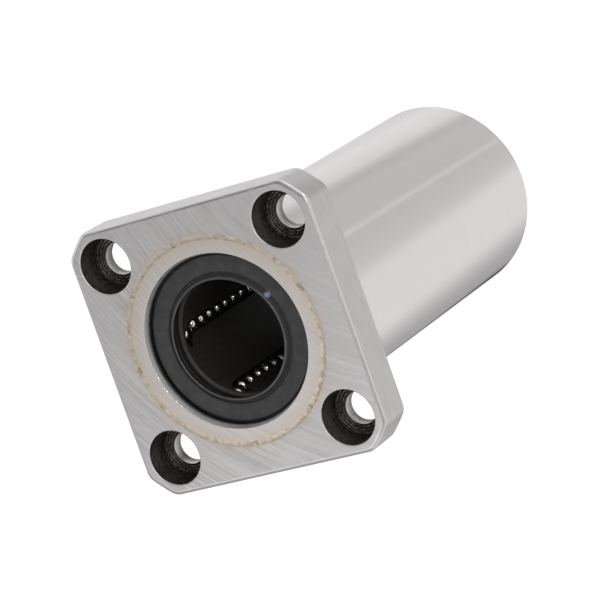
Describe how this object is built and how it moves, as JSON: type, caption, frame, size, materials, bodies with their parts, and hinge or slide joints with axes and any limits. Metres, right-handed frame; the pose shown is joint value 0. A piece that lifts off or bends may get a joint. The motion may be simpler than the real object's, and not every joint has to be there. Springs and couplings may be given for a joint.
{
  "type": "flanged linear ball bushing",
  "caption": "Long square-flanged linear ball bushing for a round shaft: hardened cylinder, counterbored flange, recirculating ball circuits in resin retainers and end seals.",
  "frame": {"origin": "centre of the bore in the plane of the flange's mounting face", "axes": "+Z along the bore, out through the flange's counterbored outer face; X and Y square to the flange's sides"},
  "size_m": [0.037, 0.037, 0.07],
  "materials": {
    "cylinder_steel": "ground and polished",
    "flange_steel": "surface ground, fine parallel scratches",
    "braze": "ground flush, heat tinted",
    "retainer_resin": "moulded",
    "spacer_resin": "moulded",
    "spring_steel": "blued spring steel",
    "seal_rubber": "matt moulded",
    "ball_steel": "polished"
  },
  "bodies": {
    "bushing": {"outer_cylinder": "cylinder_steel", "flange": "flange_steel", "braze_seam": "braze", "front_retainer": "retainer_resin", "rear_retainer": "retainer_resin", "center_spacer": "spacer_resin", "front_retaining_ring": "spring_steel", "rear_retaining_ring": "spring_steel", "front_seal": "seal_rubber", "rear_seal": "seal_rubber"},
    "front_circuit_1_loaded_row": {"front_loaded_row_1": "ball_steel"},
    "front_circuit_1_return_row": {"front_return_row_1": "ball_steel"},
    "front_circuit_1_outer_turn": {"front_outer_turn_1": "ball_steel"},
    "front_circuit_1_inner_turn": {"front_inner_turn_1": "ball_steel"},
    "front_circuit_2_loaded_row": {"front_loaded_row_2": "ball_steel"},
    "front_circuit_2_return_row": {"front_return_row_2": "ball_steel"},
    "front_circuit_2_outer_turn": {"front_outer_turn_2": "ball_steel"},
    "front_circuit_2_inner_turn": {"front_inner_turn_2": "ball_steel"},
    "front_circuit_3_loaded_row": {"front_loaded_row_3": "ball_steel"},
    "front_circuit_3_return_row": {"front_return_row_3": "ball_steel"},
    "front_circuit_3_outer_turn": {"front_outer_turn_3": "ball_steel"},
    "front_circuit_3_inner_turn": {"front_inner_turn_3": "ball_steel"},
    "front_circuit_4_loaded_row": {"front_loaded_row_4": "ball_steel"},
    "front_circuit_4_return_row": {"front_return_row_4": "ball_steel"},
    "front_circuit_4_outer_turn": {"front_outer_turn_4": "ball_steel"},
    "front_circuit_4_inner_turn": {"front_inner_turn_4": "ball_steel"},
    "front_circuit_5_loaded_row": {"front_loaded_row_5": "ball_steel"},
    "front_circuit_5_return_row": {"front_return_row_5": "ball_steel"},
    "front_circuit_5_outer_turn": {"front_outer_turn_5": "ball_steel"},
    "front_circuit_5_inner_turn": {"front_inner_turn_5": "ball_steel"},
    "rear_circuit_1_loaded_row": {"rear_loaded_row_1": "ball_steel"},
    "rear_circuit_1_return_row": {"rear_return_row_1": "ball_steel"},
    "rear_circuit_1_outer_turn": {"rear_outer_turn_1": "ball_steel"},
    "rear_circuit_1_inner_turn": {"rear_inner_turn_1": "ball_steel"},
    "rear_circuit_2_loaded_row": {"rear_loaded_row_2": "ball_steel"},
    "rear_circuit_2_return_row": {"rear_return_row_2": "ball_steel"},
    "rear_circuit_2_outer_turn": {"rear_outer_turn_2": "ball_steel"},
    "rear_circuit_2_inner_turn": {"rear_inner_turn_2": "ball_steel"},
    "rear_circuit_3_loaded_row": {"rear_loaded_row_3": "ball_steel"},
    "rear_circuit_3_return_row": {"rear_return_row_3": "ball_steel"},
    "rear_circuit_3_outer_turn": {"rear_outer_turn_3": "ball_steel"},
    "rear_circuit_3_inner_turn": {"rear_inner_turn_3": "ball_steel"},
    "rear_circuit_4_loaded_row": {"rear_loaded_row_4": "ball_steel"},
    "rear_circuit_4_return_row": {"rear_return_row_4": "ball_steel"},
    "rear_circuit_4_outer_turn": {"rear_outer_turn_4": "ball_steel"},
    "rear_circuit_4_inner_turn": {"rear_inner_turn_4": "ball_steel"},
    "rear_circuit_5_loaded_row": {"rear_loaded_row_5": "ball_steel"},
    "rear_circuit_5_return_row": {"rear_return_row_5": "ball_steel"},
    "rear_circuit_5_outer_turn": {"rear_outer_turn_5": "ball_steel"},
    "rear_circuit_5_inner_turn": {"rear_inner_turn_5": "ball_steel"}
  },
  "joints": [
    {"name": "front_circuit_1_travel", "type": "slide", "parent": "bushing", "child": "front_circuit_1_loaded_row", "axis": [0, 0, 1], "range_m": [-0.0012, 0.0012]},
    {"name": "front_circuit_1_return_travel", "type": "slide", "parent": "bushing", "child": "front_circuit_1_return_row", "axis": [0, 0, 1], "range_m": [-0.00121, 0.00121]},
    {"name": "front_circuit_1_outer_turn", "type": "hinge", "parent": "bushing", "child": "front_circuit_1_outer_turn", "pos_m": [0.00778, 0.00532, -0.00105], "axis": [0.9296, 0.3685, 0], "range_deg": [-37.22, 37.22]},
    {"name": "front_circuit_1_inner_turn", "type": "hinge", "parent": "bushing", "child": "front_circuit_1_inner_turn", "pos_m": [0.00778, 0.00532, -0.02465], "axis": [0.9296, 0.3685, 0], "range_deg": [-37.22, 37.22]},
    {"name": "front_circuit_2_travel", "type": "slide", "parent": "bushing", "child": "front_circuit_2_loaded_row", "axis": [0, 0, 1], "range_m": [-0.0012, 0.0012]},
    {"name": "front_circuit_2_return_travel", "type": "slide", "parent": "bushing", "child": "front_circuit_2_return_row", "axis": [0, 0, 1], "range_m": [-0.00121, 0.00121]},
    {"name": "front_circuit_2_outer_turn", "type": "hinge", "parent": "bushing", "child": "front_circuit_2_outer_turn", "pos_m": [-0.00266, 0.00904, -0.00105], "axis": [-0.0632, 0.998, 0], "range_deg": [-37.22, 37.22]},
    {"name": "front_circuit_2_inner_turn", "type": "hinge", "parent": "bushing", "child": "front_circuit_2_inner_turn", "pos_m": [-0.00266, 0.00904, -0.02465], "axis": [-0.0632, 0.998, 0], "range_deg": [-37.22, 37.22]},
    {"name": "front_circuit_3_travel", "type": "slide", "parent": "bushing", "child": "front_circuit_3_loaded_row", "axis": [0, 0, 1], "range_m": [-0.0012, 0.0012]},
    {"name": "front_circuit_3_return_travel", "type": "slide", "parent": "bushing", "child": "front_circuit_3_return_row", "axis": [0, 0, 1], "range_m": [-0.00121, 0.00121]},
    {"name": "front_circuit_3_outer_turn", "type": "hinge", "parent": "bushing", "child": "front_circuit_3_outer_turn", "pos_m": [-0.00942, 0.00027, -0.00105], "axis": [-0.9687, 0.2483, 0], "range_deg": [-37.22, 37.22]},
    {"name": "front_circuit_3_inner_turn", "type": "hinge", "parent": "bushing", "child": "front_circuit_3_inner_turn", "pos_m": [-0.00942, 0.00027, -0.02465], "axis": [-0.9687, 0.2483, 0], "range_deg": [-37.22, 37.22]},
    {"name": "front_circuit_4_travel", "type": "slide", "parent": "bushing", "child": "front_circuit_4_loaded_row", "axis": [0, 0, 1], "range_m": [-0.0012, 0.0012]},
    {"name": "front_circuit_4_return_travel", "type": "slide", "parent": "bushing", "child": "front_circuit_4_return_row", "axis": [0, 0, 1], "range_m": [-0.00121, 0.00121]},
    {"name": "front_circuit_4_outer_turn", "type": "hinge", "parent": "bushing", "child": "front_circuit_4_outer_turn", "pos_m": [-0.00317, -0.00888, -0.00105], "axis": [-0.5355, -0.8445, 0], "range_deg": [-37.22, 37.22]},
    {"name": "front_circuit_4_inner_turn", "type": "hinge", "parent": "bushing", "child": "front_circuit_4_inner_turn", "pos_m": [-0.00317, -0.00888, -0.02465], "axis": [-0.5355, -0.8445, 0], "range_deg": [-37.22, 37.22]},
    {"name": "front_circuit_5_travel", "type": "slide", "parent": "bushing", "child": "front_circuit_5_loaded_row", "axis": [0, 0, 1], "range_m": [-0.0012, 0.0012]},
    {"name": "front_circuit_5_return_travel", "type": "slide", "parent": "bushing", "child": "front_circuit_5_return_row", "axis": [0, 0, 1], "range_m": [-0.00121, 0.00121]},
    {"name": "front_circuit_5_outer_turn", "type": "hinge", "parent": "bushing", "child": "front_circuit_5_outer_turn", "pos_m": [0.00746, -0.00576, -0.00105], "axis": [0.6377, -0.7703, 0], "range_deg": [-37.22, 37.22]},
    {"name": "front_circuit_5_inner_turn", "type": "hinge", "parent": "bushing", "child": "front_circuit_5_inner_turn", "pos_m": [0.00746, -0.00576, -0.02465], "axis": [0.6377, -0.7703, 0], "range_deg": [-37.22, 37.22]},
    {"name": "rear_circuit_1_travel", "type": "slide", "parent": "bushing", "child": "rear_circuit_1_loaded_row", "axis": [0, 0, 1], "range_m": [-0.0012, 0.0012]},
    {"name": "rear_circuit_1_return_travel", "type": "slide", "parent": "bushing", "child": "rear_circuit_1_return_row", "axis": [0, 0, 1], "range_m": [-0.00121, 0.00121]},
    {"name": "rear_circuit_1_outer_turn", "type": "hinge", "parent": "bushing", "child": "rear_circuit_1_outer_turn", "pos_m": [0.00778, 0.00532, -0.05695], "axis": [0.9296, 0.3685, 0], "range_deg": [-37.22, 37.22]},
    {"name": "rear_circuit_1_inner_turn", "type": "hinge", "parent": "bushing", "child": "rear_circuit_1_inner_turn", "pos_m": [0.00778, 0.00532, -0.03335], "axis": [0.9296, 0.3685, 0], "range_deg": [-37.22, 37.22]},
    {"name": "rear_circuit_2_travel", "type": "slide", "parent": "bushing", "child": "rear_circuit_2_loaded_row", "axis": [0, 0, 1], "range_m": [-0.0012, 0.0012]},
    {"name": "rear_circuit_2_return_travel", "type": "slide", "parent": "bushing", "child": "rear_circuit_2_return_row", "axis": [0, 0, 1], "range_m": [-0.00121, 0.00121]},
    {"name": "rear_circuit_2_outer_turn", "type": "hinge", "parent": "bushing", "child": "rear_circuit_2_outer_turn", "pos_m": [-0.00266, 0.00904, -0.05695], "axis": [-0.0632, 0.998, 0], "range_deg": [-37.22, 37.22]},
    {"name": "rear_circuit_2_inner_turn", "type": "hinge", "parent": "bushing", "child": "rear_circuit_2_inner_turn", "pos_m": [-0.00266, 0.00904, -0.03335], "axis": [-0.0632, 0.998, 0], "range_deg": [-37.22, 37.22]},
    {"name": "rear_circuit_3_travel", "type": "slide", "parent": "bushing", "child": "rear_circuit_3_loaded_row", "axis": [0, 0, 1], "range_m": [-0.0012, 0.0012]},
    {"name": "rear_circuit_3_return_travel", "type": "slide", "parent": "bushing", "child": "rear_circuit_3_return_row", "axis": [0, 0, 1], "range_m": [-0.00121, 0.00121]},
    {"name": "rear_circuit_3_outer_turn", "type": "hinge", "parent": "bushing", "child": "rear_circuit_3_outer_turn", "pos_m": [-0.00942, 0.00027, -0.05695], "axis": [-0.9687, 0.2483, 0], "range_deg": [-37.22, 37.22]},
    {"name": "rear_circuit_3_inner_turn", "type": "hinge", "parent": "bushing", "child": "rear_circuit_3_inner_turn", "pos_m": [-0.00942, 0.00027, -0.03335], "axis": [-0.9687, 0.2483, 0], "range_deg": [-37.22, 37.22]},
    {"name": "rear_circuit_4_travel", "type": "slide", "parent": "bushing", "child": "rear_circuit_4_loaded_row", "axis": [0, 0, 1], "range_m": [-0.0012, 0.0012]},
    {"name": "rear_circuit_4_return_travel", "type": "slide", "parent": "bushing", "child": "rear_circuit_4_return_row", "axis": [0, 0, 1], "range_m": [-0.00121, 0.00121]},
    {"name": "rear_circuit_4_outer_turn", "type": "hinge", "parent": "bushing", "child": "rear_circuit_4_outer_turn", "pos_m": [-0.00317, -0.00888, -0.05695], "axis": [-0.5355, -0.8445, 0], "range_deg": [-37.22, 37.22]},
    {"name": "rear_circuit_4_inner_turn", "type": "hinge", "parent": "bushing", "child": "rear_circuit_4_inner_turn", "pos_m": [-0.00317, -0.00888, -0.03335], "axis": [-0.5355, -0.8445, 0], "range_deg": [-37.22, 37.22]},
    {"name": "rear_circuit_5_travel", "type": "slide", "parent": "bushing", "child": "rear_circuit_5_loaded_row", "axis": [0, 0, 1], "range_m": [-0.0012, 0.0012]},
    {"name": "rear_circuit_5_return_travel", "type": "slide", "parent": "bushing", "child": "rear_circuit_5_return_row", "axis": [0, 0, 1], "range_m": [-0.00121, 0.00121]},
    {"name": "rear_circuit_5_outer_turn", "type": "hinge", "parent": "bushing", "child": "rear_circuit_5_outer_turn", "pos_m": [0.00746, -0.00576, -0.05695], "axis": [0.6377, -0.7703, 0], "range_deg": [-37.22, 37.22]},
    {"name": "rear_circuit_5_inner_turn", "type": "hinge", "parent": "bushing", "child": "rear_circuit_5_inner_turn", "pos_m": [0.00746, -0.00576, -0.03335], "axis": [0.6377, -0.7703, 0], "range_deg": [-37.22, 37.22]}
  ],
  "couplings": [
    {"joint": "front_circuit_1_return_travel", "follows": "front_circuit_1_travel", "ratio": -1},
    {"joint": "front_circuit_1_outer_turn", "follows": "front_circuit_1_travel", "rad_per_m": -538.39},
    {"joint": "front_circuit_1_inner_turn", "follows": "front_circuit_1_travel", "rad_per_m": -538.39},
    {"joint": "front_circuit_2_return_travel", "follows": "front_circuit_2_travel", "ratio": -1},
    {"joint": "front_circuit_2_outer_turn", "follows": "front_circuit_2_travel", "rad_per_m": -538.39},
    {"joint": "front_circuit_2_inner_turn", "follows": "front_circuit_2_travel", "rad_per_m": -538.39},
    {"joint": "front_circuit_3_return_travel", "follows": "front_circuit_3_travel", "ratio": -1},
    {"joint": "front_circuit_3_outer_turn", "follows": "front_circuit_3_travel", "rad_per_m": -538.39},
    {"joint": "front_circuit_3_inner_turn", "follows": "front_circuit_3_travel", "rad_per_m": -538.39},
    {"joint": "front_circuit_4_return_travel", "follows": "front_circuit_4_travel", "ratio": -1},
    {"joint": "front_circuit_4_outer_turn", "follows": "front_circuit_4_travel", "rad_per_m": -538.39},
    {"joint": "front_circuit_4_inner_turn", "follows": "front_circuit_4_travel", "rad_per_m": -538.39},
    {"joint": "front_circuit_5_return_travel", "follows": "front_circuit_5_travel", "ratio": -1},
    {"joint": "front_circuit_5_outer_turn", "follows": "front_circuit_5_travel", "rad_per_m": -538.39},
    {"joint": "front_circuit_5_inner_turn", "follows": "front_circuit_5_travel", "rad_per_m": -538.39},
    {"joint": "rear_circuit_1_return_travel", "follows": "rear_circuit_1_travel", "ratio": -1},
    {"joint": "rear_circuit_1_outer_turn", "follows": "rear_circuit_1_travel", "rad_per_m": -538.39},
    {"joint": "rear_circuit_1_inner_turn", "follows": "rear_circuit_1_travel", "rad_per_m": -538.39},
    {"joint": "rear_circuit_2_return_travel", "follows": "rear_circuit_2_travel", "ratio": -1},
    {"joint": "rear_circuit_2_outer_turn", "follows": "rear_circuit_2_travel", "rad_per_m": -538.39},
    {"joint": "rear_circuit_2_inner_turn", "follows": "rear_circuit_2_travel", "rad_per_m": -538.39},
    {"joint": "rear_circuit_3_return_travel", "follows": "rear_circuit_3_travel", "ratio": -1},
    {"joint": "rear_circuit_3_outer_turn", "follows": "rear_circuit_3_travel", "rad_per_m": -538.39},
    {"joint": "rear_circuit_3_inner_turn", "follows": "rear_circuit_3_travel", "rad_per_m": -538.39},
    {"joint": "rear_circuit_4_return_travel", "follows": "rear_circuit_4_travel", "ratio": -1},
    {"joint": "rear_circuit_4_outer_turn", "follows": "rear_circuit_4_travel", "rad_per_m": -538.39},
    {"joint": "rear_circuit_4_inner_turn", "follows": "rear_circuit_4_travel", "rad_per_m": -538.39},
    {"joint": "rear_circuit_5_return_travel", "follows": "rear_circuit_5_travel", "ratio": -1},
    {"joint": "rear_circuit_5_outer_turn", "follows": "rear_circuit_5_travel", "rad_per_m": -538.39},
    {"joint": "rear_circuit_5_inner_turn", "follows": "rear_circuit_5_travel", "rad_per_m": -538.39}
  ]
}
